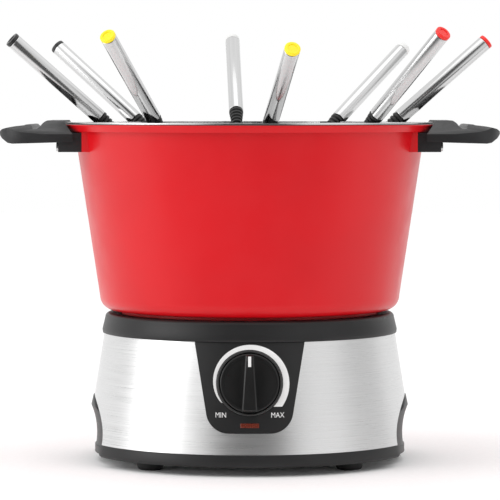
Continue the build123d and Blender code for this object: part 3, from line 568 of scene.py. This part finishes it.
class FONDUE_OT_stage(bpy.types.Operator):
    """Pale floor, soft lights, grey cards for the metal to reflect, and the camera"""

    bl_idname = "fondue.stage"
    bl_label = "Set the stage"

    def execute(self, context):
        settings = context.scene.fondue
        deselect()
        bpy.ops.mesh.primitive_plane_add(size=8.0, location=(0, 0, 0))
        floor = context.object
        floor.name = "floor"
        paper = Finish("floor_paper", Roughness=0.9)
        fibre = paper.noise(300.0, 3.0)
        paper.feed("Base Color", paper.mix(paper.smooth(fibre, 0.3, 0.7), grey(0.93), grey(0.96)))
        dress(floor, paper.material)

        world = bpy.data.worlds.new("studio")
        world.use_nodes = True
        world.node_tree.nodes["Background"].inputs["Color"].default_value = (1, 1, 1, 1)
        world.node_tree.nodes["Background"].inputs["Strength"].default_value = 1.0
        context.scene.world = world
        context.scene.view_settings.view_transform = "Standard"

        # Grey cards, hidden from the camera, diffuse light and shadows:
        # (name, place, width, height, turn, opacity).
        cards = (
            ("card_front", (0.0, -1.7, 0.55), 2.3, 2.6, (90, 0, 0), 0.96),
            ("card_low", (0.0, -0.98, 0.004), 2.0, 1.6, (0, 0, 0), 0.96),
            ("card_right", (1.7, 0.1, 0.5), 1.6, 2.2, (90, 0, 90), 0.4),
            ("card_left", (-1.7, 0.5, 0.5), 0.7, 2.2, (90, 0, 90), 0.25),
        )
        for name, place, width, height, turn, opacity in cards:
            deselect()
            bpy.ops.mesh.primitive_plane_add(size=1.0, location=place)
            plane = context.object
            plane.name = name
            plane.scale = (width, height, 1.0)
            plane.rotation_euler = [math.radians(angle) for angle in turn]
            dress(plane, soft_card(name, opacity))
            plane.visible_camera = False
            plane.visible_diffuse = False
            plane.visible_shadow = False

        # Area lights: (name, place, size, power).
        lights = (
            ("left_box", (-1.4, -0.5, 0.6), 0.9, 6.0),
            ("top_box", (0.0, -0.3, 1.6), 1.2, 3.0),
        )
        for name, place, size, power in lights:
            data = bpy.data.lights.new(name, "AREA")
            data.shape = "SQUARE"
            data.size = size
            data.energy = power
            lamp = bpy.data.objects.new(name, data)
            context.scene.collection.objects.link(lamp)
            lamp.location = place
            aim = LIGHT_AIM - Vector(place)
            lamp.rotation_euler = aim.to_track_quat("-Z", "Y").to_euler()

        data = bpy.data.lights.new("sky_fill", "SUN")
        data.energy = 0.3
        data.angle = math.radians(120)
        fill = bpy.data.objects.new("sky_fill", data)
        context.scene.collection.objects.link(fill)

        data = bpy.data.cameras.new("camera")
        data.sensor_width = 36.0
        data.lens = LENS_LENGTH
        camera = bpy.data.objects.new("camera", data)
        context.scene.collection.objects.link(camera)
        camera.location = (CAMERA_X, -settings.camera_distance, settings.camera_height)
        aim = Vector((0.0, 1.0, -math.tan(settings.camera_tilt)))
        camera.rotation_euler = aim.to_track_quat("-Z", "Y").to_euler()
        context.scene.camera = camera
        return {"FINISHED"}


class FONDUE_OT_pot(bpy.types.Operator):
    """The coated pot, its two handles and their screws"""

    bl_idname = "fondue.pot"
    bl_label = "Finish the pot"

    def execute(self, context):
        settings = context.scene.fondue
        finished_copy("pot", red_enamel(tuple(settings.pot_red)), 25.0)
        grip = moulded("handle_moulding", (0.015, 0.015, 0.016, 1.0), 0.4)
        finish_nodes(grip, ("handle_left", "handle_right"), 40.0, 0.0006)
        finish_nodes(bright_metal("pot_screws", grey(0.6), 0.2), ("handle_screws",))
        return {"FINISHED"}


class FONDUE_OT_ring(bpy.types.Operator):
    """The notched steel ring on the pot's rim"""

    bl_idname = "fondue.ring"
    bl_label = "Finish the fork ring"

    def execute(self, context):
        finished_copy("fork_ring", round_brushed("ring_steel", 0.74, 0.2, 900.0))
        return {"FINISHED"}


class FONDUE_OT_base(bpy.types.Operator):
    """Steel shell, black mouldings, feet and everything inside the base"""

    bl_idname = "fondue.base"
    bl_label = "Finish the base"

    def execute(self, context):
        black = tuple(context.scene.fondue.plastic_black)
        finished_copy("steel_shell", round_brushed("shell_steel", 0.8, 0.3))
        housing = moulded("housing_moulding", black, 0.4)
        finish_nodes(housing, ("lower_housing", "top_collar", "power_inlet"), 40.0, 0.0003)
        finished_copy("control_panel", housing, 30.0)
        rubber = moulded("foot_rubber", grey(0.014), 0.62, 900.0, 0.4)
        finish_nodes(rubber, ("rubber_feet",))
        plate = bright_metal("plate_steel", grey(0.55), 0.32)
        finish_nodes(plate, ("bottom_cover", "element_clips"))
        screws = bright_metal("bright_screws", grey(0.62), 0.2)
        finish_nodes(screws, ("cover_screws", "thermostat_screws"))
        self.spring(screws)
        pressed = bright_metal("pressed_aluminium", (0.78, 0.78, 0.79, 1.0), 0.22)
        finish_nodes(pressed, ("reflector_pan", "sensor_cup"))
        finish_nodes(element_scale(), ("heating_element",))
        finish_nodes(bright_metal("contact_brass", (0.78, 0.62, 0.33, 1.0), 0.2), ("inlet_pins",))
        brown = moulded("thermostat_moulding", (0.05, 0.042, 0.035, 1.0), 0.5)
        finish_nodes(brown, ("thermostat_body",))
        finish_nodes(lens_plastic((0.12, 0.014, 0.004, 1.0)), ("indicator_lens",))
        glass = moulded("lamp_glass", (0.5, 0.28, 0.15, 1.0), 0.15, 400.0, 0.05)
        finish_nodes(glass, ("indicator_lamp",))
        return {"FINISHED"}

    def spring(self, steel):
        """The sensor's spring; the share of its length kept when the cup goes down is worked out but not applied.
        """
        piece = finished_copy("sensor_spring", steel)
        low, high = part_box("sensor_spring")
        press = next(joint for joint in frame["joints"] if joint["name"] == "sensor_press")
        kept = 1.0 - press["range_m"][1] / (high.z - low.z)
        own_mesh(piece)


class FONDUE_OT_dial(bpy.types.Operator):
    """Knob, bezel, printed scale and the MIN and MAX marks"""

    bl_idname = "fondue.dial"
    bl_label = "Finish the dial"

    def execute(self, context):
        settings = context.scene.fondue
        dark = moulded("knob_moulding", grey(0.006), 0.32, coat=0.1)
        finish_nodes(dark, ("knob",), 40.0, 0.0003)
        gloss = moulded("bezel_moulding", grey(0.03), 0.2, coat=0.5)
        finish_nodes(gloss, ("dial_bezel",), 40.0)
        finish_nodes(bright_metal("shaft_steel", grey(0.6), 0.2), ("thermostat_shaft",))
        white = moulded("printed_white", (0.66, 0.66, 0.655, 1.0), 0.5, 1800.0, 0.05)
        finish_nodes(white, ("knob_index",))
        self.scale_arc(settings, white)
        for word in MARK_X:
            self.mark(word, white, settings)
        return {"FINISHED"}

    def on_cone(self, x, z, lift):
        """The point of the base's cone behind (x, z), seen from the front."""
        reach = shell_radius(z) + lift
        return (x, -math.sqrt(max(reach * reach - x * x, 0.0)), z)

    def scale_arc(self, settings, white):
        """A crescent that widens clockwise from the cold end to the hot end."""
        deselect()
        bpy.ops.mesh.primitive_grid_add(x_subdivisions=120, y_subdivisions=1, size=2.0)
        arc = bpy.context.object
        arc.name = "dial_scale"
        tilt = math.cos(math.atan(SHELL_SLOPE))
        for vertex in arc.data.vertices:
            along = (vertex.co.x + 1.0) / 2.0
            outer = vertex.co.y > 0
            sweep = SCALE_SWEEP_OUTER if outer else SCALE_SWEEP_INNER
            angle = math.radians(SCALE_START - sweep * along)
            width = settings.scale_width * along ** SCALE_TAPER if outer else 0.0
            radius = settings.scale_radius + width
            x = radius * math.cos(angle)
            z = DIAL_Z + radius * math.sin(angle) * tilt
            vertex.co = self.on_cone(x, z, INK_LIFT)
        take(arc)
        modifier = arc.modifiers.new("ink", "SOLIDIFY")
        modifier.thickness = INK_THICKNESS
        modifier.offset = 0.0
        bpy.ops.object.modifier_apply(modifier="ink")
        dress(arc, white)
        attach(arc, "base")

    def mark(self, word, white, settings):
        """One printed end mark of the scale, laid on the cone."""
        deselect()
        bpy.ops.object.text_add(location=(0, 0, 0))
        text = bpy.context.object
        text.data.body = word
        text.data.align_x = "CENTER"
        text.data.align_y = "CENTER"
        text.data.size = settings.letter_height / CAPITAL_SHARE
        text.data.extrude = INK_THICKNESS / 2
        take(text)
        bpy.ops.object.convert(target="MESH")
        piece = bpy.context.object
        piece.name = "mark_" + word.lower()
        for vertex in piece.data.vertices:
            x = MARK_X[word] + vertex.co.x * LETTER_WIDTH
            z = MARK_Z + vertex.co.y
            vertex.co = self.on_cone(x, z, INK_LIFT + vertex.co.z)
        dress(piece, white)
        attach(piece, "base")


class FONDUE_OT_forks(bpy.types.Operator):
    """Eight forks: coloured cap, brushed tube, ribbed ferrule and two-tined rod"""

    bl_idname = "fondue.forks"
    bl_label = "Finish the forks"

    def execute(self, context):
        settings = context.scene.fondue
        caps = {
            "black": moulded("cap_black", (0.02, 0.02, 0.02, 1.0), 0.35, 900.0, 0.04, coat=0.2),
            "yellow": moulded("cap_yellow", tuple(settings.cap_yellow), 0.35, 900.0, 0.04, coat=0.2),
            "white": moulded("cap_white", (0.74, 0.74, 0.73, 1.0), 0.35, 900.0, 0.04, coat=0.2),
            "red": moulded("cap_red", tuple(settings.cap_red), 0.35, 900.0, 0.04, coat=0.2),
        }
        ferrule = moulded("ferrule_moulding", (0.012, 0.012, 0.012, 1.0), 0.4)
        rod = bright_metal("tine_steel", grey(0.68), 0.14)
        axes = {joint["child"]: joint["axis"] for joint in frame["joints"]}
        for body in sorted(BODIES):
            if not body.startswith("fork_"):
                continue
            place = ForkFrame(body, axes[body])
            colour = place.cap.rsplit("_", 1)[1]
            brushed = length_brushed(body + "_tube_steel", 0.66, 0.15, axes[body])
            made = (
                (place.tube, place.tube_outline(), brushed),
                (place.cap, place.cap_outline(), caps[colour]),
                (place.ferrule, place.ferrule_outline(), ferrule),
            )
            for node, outline, material in made:
                piece = turned(node + "_finished", outline)
                place.lay(piece)
                stand_for(piece, node, material, 40.0)
            finished_copy(place.tines, rod)
        return {"FINISHED"}


OPERATORS = (
    FONDUE_OT_stage,
    FONDUE_OT_pot,
    FONDUE_OT_ring,
    FONDUE_OT_base,
    FONDUE_OT_dial,
    FONDUE_OT_forks,
)


class FONDUE_PT_panel(bpy.types.Panel):
    """Lists the set's settings and making steps"""

    bl_idname = "FONDUE_PT_panel"
    bl_label = "Fondue pot set"
    bl_space_type = "VIEW_3D"
    bl_region_type = "UI"
    bl_category = "Fondue"

    def draw(self, context):
        for name in FondueSettings.__annotations__:
            self.layout.prop(context.scene.fondue, name)
        for operator in OPERATORS:
            self.layout.operator(operator.bl_idname)


CLASSES = (FondueSettings, *OPERATORS, FONDUE_PT_panel)


def register():
    for cls in CLASSES:
        bpy.utils.register_class(cls)
    bpy.types.Scene.fondue = bpy.props.PointerProperty(type=FondueSettings)


def unregister():
    del bpy.types.Scene.fondue
    for cls in reversed(CLASSES):
        bpy.utils.unregister_class(cls)


def main():
    register()
    bpy.ops.fondue.stage()
    bpy.ops.fondue.pot()
    bpy.ops.fondue.ring()
    bpy.ops.fondue.base()
    bpy.ops.fondue.dial()
    bpy.ops.fondue.forks()
    deselect()


if __name__ == "__main__":
    main()
